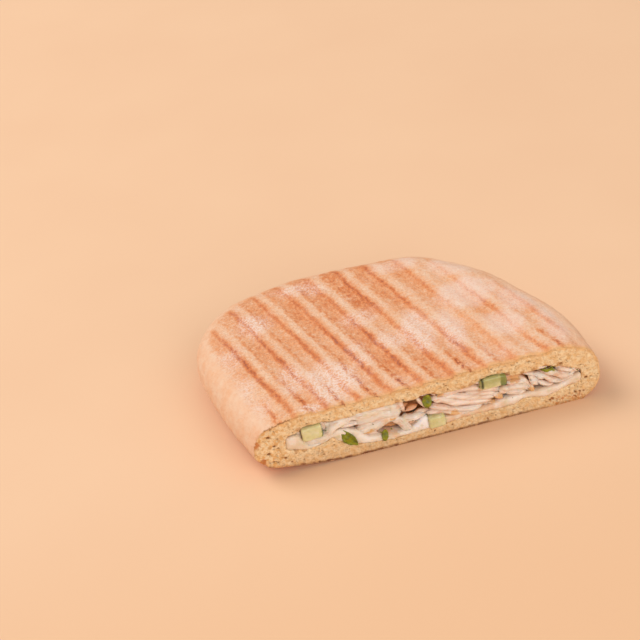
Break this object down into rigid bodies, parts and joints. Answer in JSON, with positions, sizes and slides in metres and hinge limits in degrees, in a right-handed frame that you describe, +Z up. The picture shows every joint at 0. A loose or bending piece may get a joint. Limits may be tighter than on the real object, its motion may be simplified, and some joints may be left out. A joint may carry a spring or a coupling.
{
  "type": "half grilled chicken sandwich",
  "caption": "Cut half of a pressed flatbread sandwich with grill marks on its crust, filled with shredded chicken, cream sauce, cucumber and herbs.",
  "frame": {"origin": "under the middle of the half, at the surface it rests on", "axes": "+X along the cut from its thin left end to its right end, +Y from the cut face into the bread, +Z up"},
  "size_m": [0.1734, 0.1214, 0.0306],
  "materials": {
    "bread": "baked flatbread: pale floured crust with browned grill marks, open yellow-beige crumb where it is cut",
    "cream": "thick white sauce, softly glossy",
    "chicken": "cooked breast meat pulled into fibrous shreds, slightly moist",
    "cucumber": "pale wet cucumber flesh with a dark green skin edge",
    "herb": "torn fresh green leaf"
  },
  "bodies": {
    "root": {"bread": "bread", "cream": "cream", "chicken": "chicken", "cucumber_1": "cucumber", "cucumber_2": "cucumber", "cucumber_3": "cucumber", "herb_leaf_1": "herb", "herb_leaf_2": "herb", "herb_leaf_3": "herb", "herb_leaf_4": "herb"}
  },
  "joints": []
}
